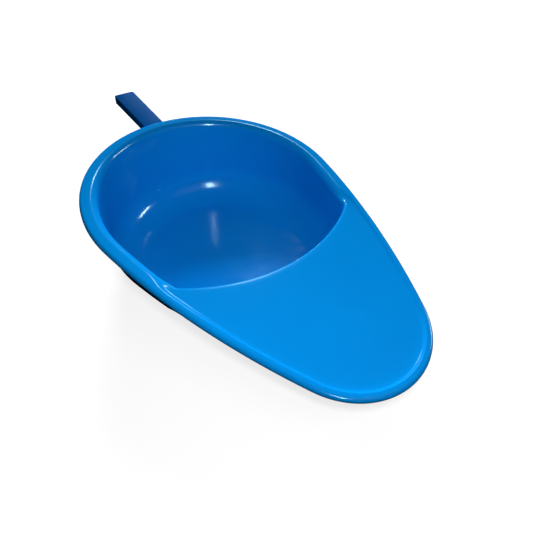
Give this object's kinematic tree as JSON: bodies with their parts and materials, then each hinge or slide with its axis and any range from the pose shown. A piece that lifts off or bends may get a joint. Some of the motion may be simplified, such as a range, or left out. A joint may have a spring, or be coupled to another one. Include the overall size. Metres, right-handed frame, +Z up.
{
  "type": "slipper bedpan",
  "caption": "Low wedge-shaped bedpan: deep round bowl, flat rim, sloping apron tapering to a round tip, and a flat bar handle at the deep end.",
  "frame": {"origin": "on the table, at the centre of the flat base under the round end of the bowl", "axes": "+X along the pan from the handle's side to the low tip, +Y across it, +Z up"},
  "size_m": [0.4776, 0.268, 0.1144],
  "materials": {
    "pan_plastic": "bright mid-blue moulded polypropylene, glossy, slightly translucent",
    "handle_plastic": "darker blue moulded plastic with a satin surface",
    "screw_steel": "plain stainless steel"
  },
  "bodies": {
    "root": {"pan_body": "pan_plastic", "handle": "handle_plastic", "handle_screw_left": "screw_steel", "handle_screw_right": "screw_steel"}
  },
  "joints": []
}
